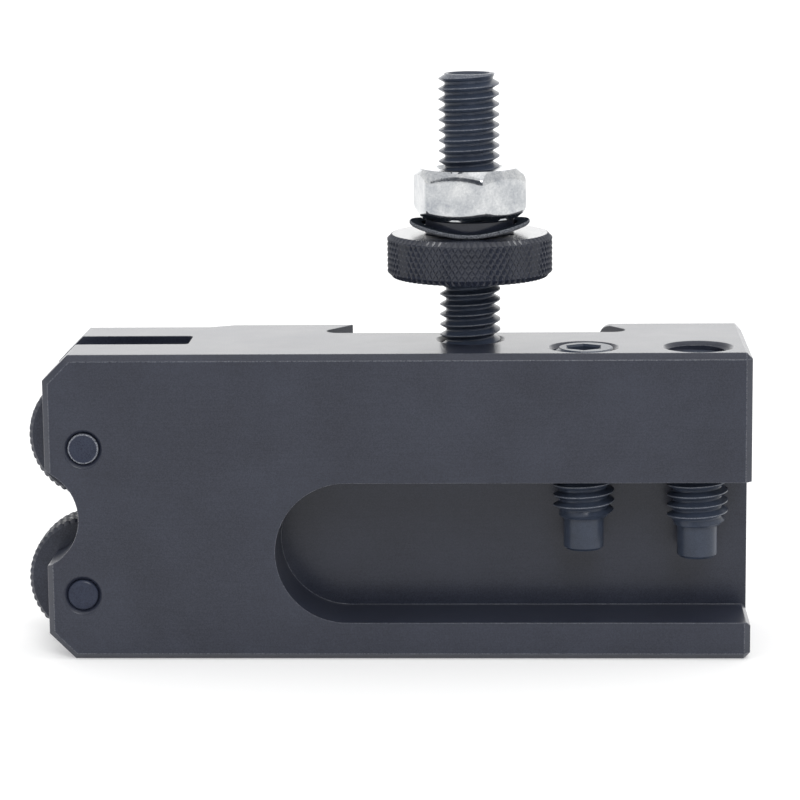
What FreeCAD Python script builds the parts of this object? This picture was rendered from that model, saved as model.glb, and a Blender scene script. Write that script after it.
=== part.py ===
"""Knurling, facing and turning tool holder for a dovetail quick-change tool post.

The holder is a milled steel block. One end carries two knurling wheels on pins, the other end
has an open slot in which two set screws clamp a turning tool. A dovetail groove at the back
slides onto the post, and the thumb nut on the stud sets the height.

Frame, millimetres: +X from the knurling end to the open end of the tool slot, +Y from the tool
side to the dovetail side, +Z up. The origin is the middle of the base face.
"""
import FreeCAD, Part
import math
import os

# ---- body block ----
BODY_LENGTH = 68.0
BODY_HEIGHT = 30.0
BODY_THICKNESS = 18.3
HEAD_THICKNESS = 17.1      # the knurling end is relieved at the back
HEAD_RELIEF_LENGTH = 14.6
HEAD_RELIEF_RAMP = 2.4
NOSE_CHAMFER = 2.5         # large chamfers above and below the knurling head
EDGE_BREAK = 0.6           # small chamfers along the outer edges
NEAR = 0.01                # edges this close to a place are taken to lie there
CUT = 1.0                  # how far a cutter runs past the face it starts from

# ---- knurling head ----
KNURL_SLOT_WIDTH = 4.9
KNURL_SLOT_LENGTH = 13.5
KNURL_SLOT_CORNER = 0.5
WHEEL_DIAMETER = 12.7
WHEEL_WIDTH = 4.7
WHEEL_CHAMFER = 0.45
WHEEL_BORE_CLEARANCE = 0.05
PIN_DIAMETER = 3.0
UPPER_PIN_CHAMFER = 0.12
LOWER_PIN_CHAMFER = 0.22
PIN_HOLE_CLEARANCE = 0.01
PIN_SINK = 0.05            # the pin ends lie this far below the body's faces
PIN_COUNTERSINK = 0.42
UPPER_PIN_FROM_END = 3.85
UPPER_PIN_HEIGHT = 20.9
LOWER_PIN_FROM_END = 3.45
LOWER_PIN_HEIGHT = 6.45
NOTCH_RADIUS = 5.1         # finger of the work that the two wheels squeeze comes in here
NOTCH_CENTRE_OUTSIDE = 1.9
NOTCH_HEIGHT = 14.0

# ---- tool slot and clamp screws ----
TOOL_SLOT_START = 22.2
TOOL_SLOT_FLOOR = 3.7
TOOL_SLOT_ROOF = 17.45
TOOL_SLOT_DEPTH = 7.3
TOOL_SLOT_MOUTH_CHAMFER = 0.4
SCREW_FRONT_OFFSET = 4.15
INNER_SCREW_FROM_END = 52.0
OUTER_SCREW_FROM_END = 63.0
INNER_SCREW_TIP = 10.2
OUTER_SCREW_TIP = 9.4
SCREW_LENGTH = 19.8
DOG_DIAMETER = 3.9
DOG_LENGTH = 3.2
DOG_CHAMFER = 0.25
SOCKET_ACROSS_FLATS = 3.0
SOCKET_DEPTH = 3.5

# ---- thread shared by the screws, the stud and the nuts ----
THREAD_DIAMETER = 5.9
THREAD_PITCH = 1.0
THREAD_DEPTH = 0.55
THREAD_CREST = 0.2
THREAD_END_CHAMFER = 0.7
HOLE_CLEARANCE = 0.07
HOLE_CHAMFER = 0.4

# ---- dovetail groove ----
DOVETAIL_OPENING = 24.85
DOVETAIL_LEFT_LIP = 29.0
DOVETAIL_DEPTH = 5.2
DOVETAIL_ANGLE = 55.0
DOVETAIL_CORNER = 1.3
DOVETAIL_LEAD_IN = 1.2

# ---- height stud and its nuts ----
STUD_FROM_END = 41.0
STUD_TOP = 56.0
STUD_BOTTOM = 20.5
STUD_HOLE_BOTTOM = STUD_BOTTOM
THUMB_NUT_BOTTOM = 36.3
THUMB_NUT_HEIGHT = 4.2
THUMB_NUT_DIAMETER = 16.1
THUMB_NUT_TOP_CHAMFER = 0.3
THUMB_NUT_BOTTOM_CHAMFER = 0.5
HUB_DIAMETER = 8.7
HUB_HEIGHT = 1.55
NUT_ACROSS_FLATS = 10.0
NUT_HEIGHT = 4.8
NUT_TURNED = 44.0          # how far the hexagon is turned about the stud, degrees
NUT_CHAMFER_ANGLE = 30.0
WASHER_OUTER_DIAMETER = 11.7
WASHER_INNER_DIAMETER = 9.1
WASHER_THICKNESS = 0.45
WASHER_RISE = 0.8          # the sides stand this much above the middle
WASHER_GAP = 0.05

# ---- derived ----
LEFT = -BODY_LENGTH / 2
RIGHT = BODY_LENGTH / 2
FRONT = -BODY_THICKNESS / 2
BACK = BODY_THICKNESS / 2
HEAD_BACK = FRONT + HEAD_THICKNESS
STUD_X = LEFT + STUD_FROM_END
SCREW_Y = FRONT + SCREW_FRONT_OFFSET
HUB_TOP = THUMB_NUT_BOTTOM + THUMB_NUT_HEIGHT + HUB_HEIGHT
NUT_BOTTOM = HUB_TOP + WASHER_GAP
WASHER_BOTTOM = THUMB_NUT_BOTTOM + THUMB_NUT_HEIGHT + WASHER_GAP
THREAD_RADIUS = THREAD_DIAMETER / 2
HOLE_RADIUS = THREAD_RADIUS + HOLE_CLEARANCE
X_AXIS = FreeCAD.Vector(1, 0, 0)
Y_AXIS = FreeCAD.Vector(0, 1, 0)
Z_AXIS = FreeCAD.Vector(0, 0, 1)


def point(x, y, z):
    """A point in the part's frame."""
    return FreeCAD.Vector(x, y, z)


def block(x_range, y_range, z_range):
    """A box from its lowest and highest place along each axis."""
    lengths = [high - low for low, high in (x_range, y_range, z_range)]
    corner = point(x_range[0], y_range[0], z_range[0])
    return Part.makeBox(lengths[0], lengths[1], lengths[2], corner)


def prism(points, direction):
    """A straight-sided solid from an outline of points, pushed along direction."""
    outline = Part.makePolygon(points + [points[0]])
    return Part.Face(outline).extrude(direction)


def turned(profile, x, y):
    """A solid turned about a vertical axis through (x, y) from (radius, height) pairs."""
    points = [point(radius, 0, height) for radius, height in profile]
    face = Part.Face(Part.makePolygon(points + [points[0]]))
    solid = face.revolve(point(0, 0, 0), Z_AXIS, 360)
    solid.translate(point(x, y, 0))
    return solid


def hexagon(across_flats, x, y, bottom, height, turn):
    """A hexagonal prism with a vertical axis."""
    corner_radius = across_flats / 2 / math.cos(math.radians(30))
    angles = [math.radians(turn + 60 * corner) for corner in range(6)]
    points = [
        point(x + corner_radius * math.cos(angle), y + corner_radius * math.sin(angle), bottom)
        for angle in angles
    ]
    return prism(points, Z_AXIS * height)


def cross_cylinder(radius, x, z, y_low, y_high):
    """A cylinder whose axis runs along Y."""
    return Part.makeCylinder(radius, y_high - y_low, point(x, y_low, z), Y_AXIS)


def thread_outline(bottom, top):
    """The (radius, height) points of a thread's crests and grooves, from bottom to top."""
    points = []
    groove_height = THREAD_PITCH - THREAD_CREST
    count = int((top - bottom - THREAD_CREST) / THREAD_PITCH)
    for turn in range(count):
        start = bottom + THREAD_CREST + turn * THREAD_PITCH
        points.append((THREAD_RADIUS, start))
        points.append((THREAD_RADIUS - THREAD_DEPTH, start + groove_height / 2))
        points.append((THREAD_RADIUS, start + groove_height))
    return points


def body_outline():
    """The block seen from the tool side, with the knurling end's chamfers."""
    return [
        point(LEFT + NOSE_CHAMFER, FRONT, 0),
        point(RIGHT, FRONT, 0),
        point(RIGHT, FRONT, BODY_HEIGHT),
        point(LEFT + NOSE_CHAMFER, FRONT, BODY_HEIGHT),
        point(LEFT, FRONT, BODY_HEIGHT - NOSE_CHAMFER),
        point(LEFT, FRONT, NOSE_CHAMFER),
    ]


def head_relief():
    """The wedge and slab milled off the back of the knurling end."""
    ramp_start = LEFT + HEAD_RELIEF_LENGTH
    points = [
        point(LEFT - CUT, HEAD_BACK, -CUT),
        point(ramp_start, HEAD_BACK, -CUT),
        point(ramp_start + HEAD_RELIEF_RAMP, BACK, -CUT),
        point(ramp_start + HEAD_RELIEF_RAMP, BACK + CUT, -CUT),
        point(LEFT - CUT, BACK + CUT, -CUT),
    ]
    return prism(points, Z_AXIS * (BODY_HEIGHT + 2 * CUT))


def knurl_slot():
    """The upright slot that the wheels run in, with small corners at its closed end."""
    half = KNURL_SLOT_WIDTH / 2
    slot = block(
        (LEFT - CUT, LEFT + KNURL_SLOT_LENGTH), (-half, half), (-CUT, BODY_HEIGHT + CUT)
    )
    end = LEFT + KNURL_SLOT_LENGTH
    corners = [
        edge for edge in slot.Edges
        if edge.BoundBox.ZLength > BODY_HEIGHT and abs(edge.CenterOfMass.x - end) < NEAR
    ]
    return slot.makeFillet(KNURL_SLOT_CORNER, corners)


def tool_slot():
    """The slot for the turning tool: open at the front and the right, round at the left."""
    radius = (TOOL_SLOT_ROOF - TOOL_SLOT_FLOOR) / 2
    centre_x = LEFT + TOOL_SLOT_START + radius
    centre_z = TOOL_SLOT_FLOOR + radius
    back_wall = FRONT + TOOL_SLOT_DEPTH
    end = cross_cylinder(radius, centre_x, centre_z, FRONT - CUT, back_wall)
    run = block(
        (centre_x, RIGHT + CUT), (FRONT - CUT, back_wall), (TOOL_SLOT_FLOOR, TOOL_SLOT_ROOF)
    )
    return end.fuse(run).removeSplitter()


def dovetail_groove():
    """The upright dovetail groove at the back, with rounded deep corners."""
    flare = math.tan(math.radians(90 - DOVETAIL_ANGLE))
    left_lip = LEFT + DOVETAIL_LEFT_LIP
    right_lip = left_lip + DOVETAIL_OPENING
    bottom = BACK - DOVETAIL_DEPTH
    undercut = DOVETAIL_DEPTH * flare
    points = [
        point(left_lip + CUT * flare, BACK + CUT, -CUT),
        point(left_lip - undercut, bottom, -CUT),
        point(right_lip + undercut, bottom, -CUT),
        point(right_lip - CUT * flare, BACK + CUT, -CUT),
    ]
    groove = prism(points, Z_AXIS * (BODY_HEIGHT + 2 * CUT))
    deep_edges = [
        edge for edge in groove.Edges
        if edge.BoundBox.ZLength > BODY_HEIGHT and abs(edge.CenterOfMass.y - bottom) < NEAR
    ]
    return groove.makeFillet(DOVETAIL_CORNER, deep_edges)


def lead_in():
    """The rounded lead-in on the top corner of the groove's right lip."""
    lip_x = LEFT + DOVETAIL_LEFT_LIP + DOVETAIL_OPENING
    radius = DOVETAIL_LEAD_IN
    y_range = (BACK - DOVETAIL_DEPTH, BACK + CUT)
    corner = block(
        (lip_x - CUT - radius, lip_x + radius), y_range, (BODY_HEIGHT - radius, BODY_HEIGHT + CUT)
    )
    round_part = cross_cylinder(radius, lip_x + radius, BODY_HEIGHT - radius, *y_range)
    return corner.cut(round_part)


def threaded_hole(x, y, bottom, with_lower_chamfer):
    """A plain cylinder for a threaded hole from bottom up through the top face."""
    top = BODY_HEIGHT
    wide = HOLE_RADIUS + HOLE_CHAMFER
    profile = [(0, bottom), (HOLE_RADIUS, bottom)]
    if with_lower_chamfer:
        profile = [(0, bottom), (wide, bottom), (HOLE_RADIUS, bottom + HOLE_CHAMFER)]
    profile += [
        (HOLE_RADIUS, top - HOLE_CHAMFER),
        (wide, top),
        (wide, top + CUT),
        (0, top + CUT),
    ]
    return turned(profile, x, y)


def pin_hole(x, z):
    """The cross hole for a knurl pin, countersunk at both faces."""
    radius = PIN_DIAMETER / 2 + PIN_HOLE_CLEARANCE
    wide = radius + PIN_COUNTERSINK
    hole = cross_cylinder(radius, x, z, FRONT - CUT, HEAD_BACK + CUT)
    front_sink = Part.makeCone(wide, radius, PIN_COUNTERSINK, point(x, FRONT, z), Y_AXIS)
    back_sink = Part.makeCone(wide, radius, PIN_COUNTERSINK, point(x, HEAD_BACK, z), -Y_AXIS)
    return hole.fuse([front_sink, back_sink])


def knurl_notch():
    """The round notch between the wheels, through both cheeks."""
    return cross_cylinder(
        NOTCH_RADIUS, LEFT - NOTCH_CENTRE_OUTSIDE, NOTCH_HEIGHT, FRONT - CUT, BACK + CUT
    )


def outer_edges(solid):
    """The block's edges around its front face and its right end, which get the small chamfer."""
    chosen = []
    for edge in solid.Edges:
        box = edge.BoundBox
        on_front = box.YLength < NEAR and abs(box.YMin - FRONT) < NEAR
        at_right = box.XLength < NEAR and abs(box.XMin - RIGHT) < NEAR
        if on_front or at_right:
            chosen.append(edge)
    return chosen


def slot_mouth_edge(solid):
    """The edge where the tool slot's floor meets the block's right end."""
    return [
        edge for edge in solid.Edges
        if abs(edge.CenterOfMass.x - RIGHT) < NEAR
        and edge.BoundBox.ZLength < NEAR
        and abs(edge.CenterOfMass.z - TOOL_SLOT_FLOOR) < NEAR
    ]


def holder_body():
    """The block with all its slots, holes and the groove."""
    solid = prism(body_outline(), Y_AXIS * BODY_THICKNESS)
    solid = solid.makeChamfer(EDGE_BREAK, outer_edges(solid))
    solid = solid.cut(tool_slot())
    solid = solid.makeChamfer(TOOL_SLOT_MOUTH_CHAMFER, slot_mouth_edge(solid))
    cutters = [head_relief(), knurl_slot(), knurl_notch(), dovetail_groove(), lead_in()]
    cutters.append(pin_hole(LEFT + UPPER_PIN_FROM_END, UPPER_PIN_HEIGHT))
    cutters.append(pin_hole(LEFT + LOWER_PIN_FROM_END, LOWER_PIN_HEIGHT))
    for from_end in (INNER_SCREW_FROM_END, OUTER_SCREW_FROM_END):
        cutters.append(threaded_hole(LEFT + from_end, SCREW_Y, TOOL_SLOT_ROOF, True))
    cutters.append(threaded_hole(STUD_X, 0, STUD_HOLE_BOTTOM, False))
    for cutter in cutters:
        solid = solid.cut(cutter)
    return solid.removeSplitter()


def height_stud():
    """The stud, threaded from end to end with chamfered ends."""
    tip_radius = THREAD_RADIUS - THREAD_END_CHAMFER
    profile = [(0, STUD_BOTTOM), (tip_radius, STUD_BOTTOM)]
    profile += thread_outline(STUD_BOTTOM + THREAD_END_CHAMFER, STUD_TOP - THREAD_END_CHAMFER)
    profile += [(THREAD_RADIUS, STUD_TOP - THREAD_END_CHAMFER), (tip_radius, STUD_TOP), (0, STUD_TOP)]
    return turned(profile, STUD_X, 0)


def thumb_nut():
    """The round nut with its hub and a plain bore that clears the stud."""
    rim = THUMB_NUT_DIAMETER / 2
    hub = HUB_DIAMETER / 2
    bottom = THUMB_NUT_BOTTOM
    top = bottom + THUMB_NUT_HEIGHT
    profile = [
        (HOLE_RADIUS + HOLE_CHAMFER, bottom),
        (rim - THUMB_NUT_BOTTOM_CHAMFER, bottom),
        (rim, bottom + THUMB_NUT_BOTTOM_CHAMFER),
        (rim, top - THUMB_NUT_TOP_CHAMFER),
        (rim - THUMB_NUT_TOP_CHAMFER, top),
        (hub, top),
        (hub, HUB_TOP),
        (HOLE_RADIUS + HOLE_CHAMFER, HUB_TOP),
        (HOLE_RADIUS, HUB_TOP - HOLE_CHAMFER),
        (HOLE_RADIUS, bottom + HOLE_CHAMFER),
    ]
    return turned(profile, STUD_X, 0)


def jam_nut():
    """The hexagon nut, chamfered at both ends."""
    drop = math.tan(math.radians(NUT_CHAMFER_ANGLE))
    top = NUT_BOTTOM + NUT_HEIGHT
    face_radius = NUT_ACROSS_FLATS / 2 * 0.95
    wide = NUT_ACROSS_FLATS
    slope = (wide - face_radius) * drop
    limits = turned(
        [
            (HOLE_RADIUS + HOLE_CHAMFER, NUT_BOTTOM),
            (face_radius, NUT_BOTTOM),
            (wide, NUT_BOTTOM + slope),
            (wide, top - slope),
            (face_radius, top),
            (HOLE_RADIUS + HOLE_CHAMFER, top),
            (HOLE_RADIUS, top - HOLE_CHAMFER),
            (HOLE_RADIUS, NUT_BOTTOM + HOLE_CHAMFER),
        ],
        STUD_X,
        0,
    )
    return hexagon(NUT_ACROSS_FLATS, STUD_X, 0, NUT_BOTTOM, NUT_HEIGHT, NUT_TURNED).common(limits)


def spring_washer():
    """The washer around the hub, curved about an axis along Y so that its sides stand up."""
    outer = WASHER_OUTER_DIAMETER / 2
    curve_radius = (outer ** 2 + WASHER_RISE ** 2) / 2 / WASHER_RISE
    centre_z = WASHER_BOTTOM + curve_radius
    shell = cross_cylinder(curve_radius, STUD_X, centre_z, -outer, outer)
    shell = shell.cut(
        cross_cylinder(curve_radius - WASHER_THICKNESS, STUD_X, centre_z, -outer - CUT, outer + CUT)
    )
    height = WASHER_RISE + 2 * WASHER_THICKNESS
    base = point(STUD_X, 0, WASHER_BOTTOM - WASHER_GAP)
    ring = Part.makeCylinder(outer, height, base, Z_AXIS)
    ring = ring.cut(Part.makeCylinder(WASHER_INNER_DIAMETER / 2, height, base, Z_AXIS))
    return shell.common(ring)


def knurl_wheel(from_end, height):
    """A knurling wheel as the plain blank that its teeth are rolled on."""
    radius = WHEEL_DIAMETER / 2
    bore = PIN_DIAMETER / 2 + WHEEL_BORE_CLEARANCE
    half = WHEEL_WIDTH / 2
    profile = [
        (bore, -half),
        (radius - WHEEL_CHAMFER, -half),
        (radius, -half + WHEEL_CHAMFER),
        (radius, half - WHEEL_CHAMFER),
        (radius - WHEEL_CHAMFER, half),
        (bore, half),
    ]
    wheel = turned(profile, 0, 0)
    wheel.rotate(point(0, 0, 0), X_AXIS, -90)
    wheel.translate(point(LEFT + from_end, 0, height))
    return wheel


def knurl_pin(from_end, height, chamfer):
    """A wheel's axle pin, chamfered at both ends."""
    radius = PIN_DIAMETER / 2
    half = (HEAD_THICKNESS - 2 * PIN_SINK) / 2
    profile = [
        (0, -half),
        (radius - chamfer, -half),
        (radius, -half + chamfer),
        (radius, half - chamfer),
        (radius - chamfer, half),
        (0, half),
    ]
    pin = turned(profile, 0, 0)
    pin.rotate(point(0, 0, 0), X_AXIS, -90)
    pin.translate(point(LEFT + from_end, (FRONT + HEAD_BACK) / 2, height))
    return pin


def clamp_screw(from_end, tip):
    """A set screw with a dog point and a hexagon socket."""
    dog = DOG_DIAMETER / 2
    shoulder = tip + DOG_LENGTH
    top = tip + SCREW_LENGTH
    end_radius = THREAD_RADIUS - THREAD_END_CHAMFER
    profile = [
        (0, tip),
        (dog - DOG_CHAMFER, tip),
        (dog, tip + DOG_CHAMFER),
        (dog, shoulder),
        (end_radius, shoulder),
    ]
    profile += thread_outline(shoulder + THREAD_END_CHAMFER, top - THREAD_END_CHAMFER)
    profile += [(THREAD_RADIUS, top - THREAD_END_CHAMFER), (end_radius, top), (0, top)]
    x = LEFT + from_end
    socket = hexagon(SOCKET_ACROSS_FLATS, x, SCREW_Y, top - SOCKET_DEPTH, SOCKET_DEPTH + CUT, 0)
    return turned(profile, x, SCREW_Y).cut(socket)


def sub_parts():
    """Every piece of the holder by its node name."""
    return {
        "holder_body": holder_body(),
        "height_stud": height_stud(),
        "thumb_nut": thumb_nut(),
        "spring_washer": spring_washer(),
        "jam_nut": jam_nut(),
        "upper_knurl_wheel": knurl_wheel(UPPER_PIN_FROM_END, UPPER_PIN_HEIGHT),
        "lower_knurl_wheel": knurl_wheel(LOWER_PIN_FROM_END, LOWER_PIN_HEIGHT),
        "upper_knurl_pin": knurl_pin(UPPER_PIN_FROM_END, UPPER_PIN_HEIGHT, UPPER_PIN_CHAMFER),
        "lower_knurl_pin": knurl_pin(LOWER_PIN_FROM_END, LOWER_PIN_HEIGHT, LOWER_PIN_CHAMFER),
        "inner_clamp_screw": clamp_screw(INNER_SCREW_FROM_END, INNER_SCREW_TIP),
        "outer_clamp_screw": clamp_screw(OUTER_SCREW_FROM_END, OUTER_SCREW_TIP),
    }


os.makedirs("parts", exist_ok=True)
for name, shape in sub_parts().items():
    solids = shape.Solids
    print(name, "solids", len(solids), "valid", shape.isValid(), "volume", round(shape.Volume, 2))
    result = solids[0] if len(solids) == 1 else shape
    result.exportStep(os.path.join("parts", name + ".step"))
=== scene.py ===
"""Finished look of a knurling, facing and turning tool holder for a dovetail tool post.

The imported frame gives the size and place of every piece. Each sub-assembly below builds the fine
meshes of its own pieces, with their threads, knurls and broken edges, and dresses them.
"""
import logging
import math
from dataclasses import dataclass
from enum import Enum
from typing import Callable, Iterable, Sequence

import bmesh
import bpy
from mathutils import Matrix, Vector


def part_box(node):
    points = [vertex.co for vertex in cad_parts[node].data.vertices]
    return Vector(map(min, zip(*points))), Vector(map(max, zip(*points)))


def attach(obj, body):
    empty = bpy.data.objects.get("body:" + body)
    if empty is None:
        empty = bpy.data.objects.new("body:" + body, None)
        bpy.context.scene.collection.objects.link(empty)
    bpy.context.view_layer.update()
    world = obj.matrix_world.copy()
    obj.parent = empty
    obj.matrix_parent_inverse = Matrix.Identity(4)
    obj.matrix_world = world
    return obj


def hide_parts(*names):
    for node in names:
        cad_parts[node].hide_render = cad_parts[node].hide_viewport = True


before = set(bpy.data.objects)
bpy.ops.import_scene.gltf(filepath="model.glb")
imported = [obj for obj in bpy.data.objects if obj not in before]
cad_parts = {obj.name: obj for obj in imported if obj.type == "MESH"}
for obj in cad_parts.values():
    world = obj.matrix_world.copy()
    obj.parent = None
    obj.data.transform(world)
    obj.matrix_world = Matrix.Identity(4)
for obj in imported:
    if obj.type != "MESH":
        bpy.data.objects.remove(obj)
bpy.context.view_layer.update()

LOG = logging.getLogger("tool_holder")
MM = 0.001
FULL_TURN = 2 * math.pi
MERGE_DISTANCE = 0.0005 * MM
CUT_TOLERANCE = MERGE_DISTANCE / 4
HEIGHT_TOLERANCE = MERGE_DISTANCE * 4
SHARP_ANGLE = math.radians(28)
ROUNDED_ANGLE = math.radians(32)
HEXAGON_STEP = math.radians(60)
HALF_HEXAGON_STEP = math.radians(30)
LENS_NEAR = 0.01
LENS_FAR = 20.0

Station = Callable[[float], tuple[float, float]]


class Hand(Enum):
    """Which way a helix or a slanted knurl runs."""

    RIGHT = 1
    LEFT = -1


class Merge(Enum):
    """How two solids are combined."""

    ADD = "UNION"
    TAKE_OUT = "DIFFERENCE"


# ---------------------------------------------------------------- mesh tools


def plain(radius: float, height: float) -> Station:
    """Give a round station of a loft, at a radius from the axis and a height along it, in metres."""
    return lambda angle: (radius, height)


def loft(bm: bmesh.types.BMesh, stations: Sequence[Station], segments: int) -> None:
    """Add a skin through rings around the Z axis, each ring extruded from the last.

    Args:
        bm: The mesh to add to.
        stations: For each ring, a function from an angle to a radius and a height.
        segments: How many points each ring has.
    """
    ring = bmesh.ops.create_circle(bm, cap_ends=False, radius=MM, segments=segments)["verts"]
    place_ring(ring, stations[0])
    for station in stations[1:]:
        members = set(ring)
        # A dict drops repeats like a set but keeps their order, so each run numbers the points alike.
        edges = dict.fromkeys(
            edge for vert in ring for edge in vert.link_edges if members >= set(edge.verts)
        )
        grown = bmesh.ops.extrude_edge_only(bm, edges=list(edges))["geom"]
        ring = [item for item in grown if isinstance(item, bmesh.types.BMVert)]
        place_ring(ring, station)


def place_ring(ring: Iterable[bmesh.types.BMVert], station: Station) -> None:
    """Move the points of a ring to a station, each at its own angle.

    Args:
        ring: The points.
        station: A function from an angle to a radius and a height.
    """
    for vert in ring:
        angle = math.atan2(vert.co.y, vert.co.x)
        radius, height = station(angle)
        vert.co = Vector((radius * math.cos(angle), radius * math.sin(angle), height))


def weld(bm: bmesh.types.BMesh) -> None:
    """Merge points that lie together, and drop what collapses."""
    bmesh.ops.remove_doubles(bm, verts=bm.verts, dist=MERGE_DISTANCE)
    bmesh.ops.dissolve_degenerate(bm, edges=bm.edges, dist=MERGE_DISTANCE)


def open_edges(bm: bmesh.types.BMesh, height: float) -> list[bmesh.types.BMEdge]:
    """List the open edges that lie at a height.

    Args:
        bm: The mesh to search.
        height: The height, in metres.

    Returns:
        The edges.
    """
    return [
        edge for edge in bm.edges
        if edge.is_boundary and all(abs(v.co.z - height) < HEIGHT_TOLERANCE for v in edge.verts)
    ]


def fill_flat(bm: bmesh.types.BMesh, height: float) -> None:
    """Close the open loops at a height with one flat face or a flat ring."""
    edges = open_edges(bm, height)
    bmesh.ops.triangle_fill(bm, use_beauty=True, use_dissolve=False, edges=edges, normal=(0, 0, 1))


def soften(
    bm: bmesh.types.BMesh, width: float, least_angle: float = ROUNDED_ANGLE,
) -> list[bmesh.types.BMFace]:
    """Round every sharp edge a little, as tumbling or a stone leaves it.

    Args:
        bm: The mesh to change.
        width: Width of the rounding, in metres.
        least_angle: Edges that turn by less than this stay.

    Returns:
        The faces of the rounding.
    """
    sharp = [edge for edge in bm.edges if edge.is_manifold and edge.calc_face_angle(0) > least_angle]
    made = bmesh.ops.bevel(
        bm, geom=sharp, offset=width, offset_type="OFFSET", affect="EDGES", segments=2,
        profile=0.5, material=-1, clamp_overlap=False,
    )
    return made["faces"]


def join(bm: bmesh.types.BMesh, other: bmesh.types.BMesh) -> None:
    """Move the whole of another mesh into bm.

    Args:
        bm: The mesh to add to.
        other: The mesh to add, which is used up.
    """
    carrier = bpy.data.meshes.new("carrier")
    other.to_mesh(carrier)
    other.free()
    bm.from_mesh(carrier)
    bpy.data.meshes.remove(carrier)


def sort_faces(bm: bmesh.types.BMesh) -> None:
    """Put the faces in the order of their points.

    Extrude and spin leave them in an order that changes from run to run, and the last digits of a
    combined solid depend on it.

    Args:
        bm: The mesh to sort.
    """
    bm.verts.index_update()
    count = len(bm.verts)

    def rank(face: bmesh.types.BMFace) -> int:
        """Give a number that grows with the face's lowest, then highest, then other points."""
        indices = [vert.index for vert in face.verts]
        return (min(indices) * count + max(indices)) * count + sum(indices) % count

    bm.faces.sort(key=rank)


def combine(bm: bmesh.types.BMesh, tool: bmesh.types.BMesh, merge: Merge) -> bmesh.types.BMesh:
    """Combine two closed meshes.

    Args:
        bm: The work, which is used up.
        tool: The other solid, which is used up.
        merge: Whether the other solid is added or taken out.

    Returns:
        A new mesh of the result.
    """
    objects = []
    for part in (bm, tool):
        bmesh.ops.recalc_face_normals(part, faces=part.faces)
        sort_faces(part)
        mesh = bpy.data.meshes.new("carrier")
        part.to_mesh(mesh)
        part.free()
        objects.append(bpy.data.objects.new("carrier", mesh))
        bpy.context.scene.collection.objects.link(objects[-1])
    work, cutter = objects
    modifier = work.modifiers.new("cut", "BOOLEAN")
    modifier.operation = merge.value
    modifier.solver = "EXACT"
    modifier.object = cutter
    depsgraph = bpy.context.evaluated_depsgraph_get()
    result = bmesh.new()
    result.from_object(work, depsgraph)
    for item in objects:
        mesh = item.data
        bpy.data.objects.remove(item)
        bpy.data.meshes.remove(mesh)
    weld(result)
    return result


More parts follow.
